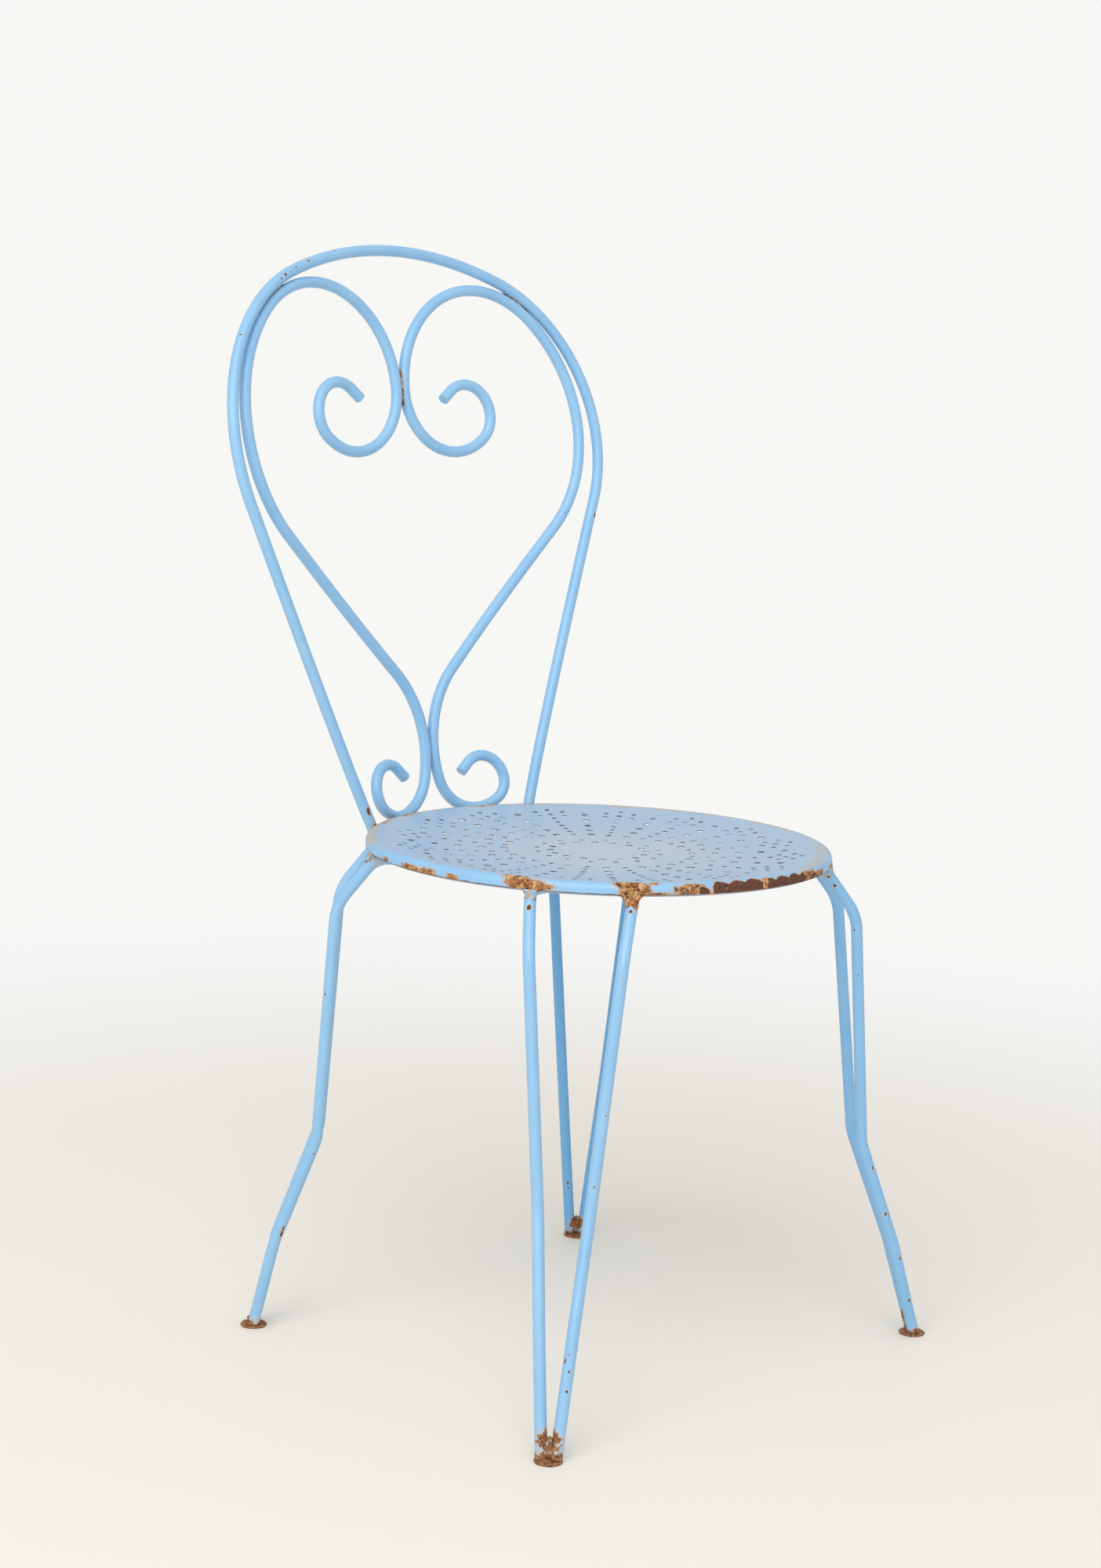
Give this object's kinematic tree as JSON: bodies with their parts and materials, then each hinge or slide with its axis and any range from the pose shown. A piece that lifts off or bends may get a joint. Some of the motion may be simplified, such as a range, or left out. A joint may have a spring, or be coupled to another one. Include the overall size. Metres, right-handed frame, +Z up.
{
  "type": "garden chair",
  "caption": "Round garden chair of bent steel rod under peeling sky-blue paint: dished perforated seat, balloon back with heart-shaped scrolls, splayed hairpin legs on small round feet.",
  "frame": {"origin": "on the floor, under the middle of the chair's outer box", "axes": "+X to the right as seen from the front, +Y from the front edge of the seat towards the back, +Z up"},
  "size_m": [0.489, 0.4926, 0.9434],
  "materials": {
    "seat_paint": "semi-gloss sky-blue paint over pressed steel sheet, with crusty orange-brown rust along the rim and round the holes, and tan stains",
    "rod_paint": "semi-gloss sky-blue brushed paint on round steel rod, chipped to dark rust in small spots and at the welds",
    "foot_rust": "rough brown rust with a few remains of blue paint"
  },
  "bodies": {
    "root": {"seat_pan": "seat_paint", "seat_ring": "rod_paint", "back_hoop": "rod_paint", "back_scroll_left": "rod_paint", "back_scroll_right": "rod_paint", "leg_front_left": "rod_paint", "leg_front_right": "rod_paint", "leg_rear_left": "rod_paint", "leg_rear_right": "rod_paint", "foot_front_left": "foot_rust", "foot_front_right": "foot_rust", "foot_rear_left": "foot_rust", "foot_rear_right": "foot_rust"}
  },
  "joints": []
}
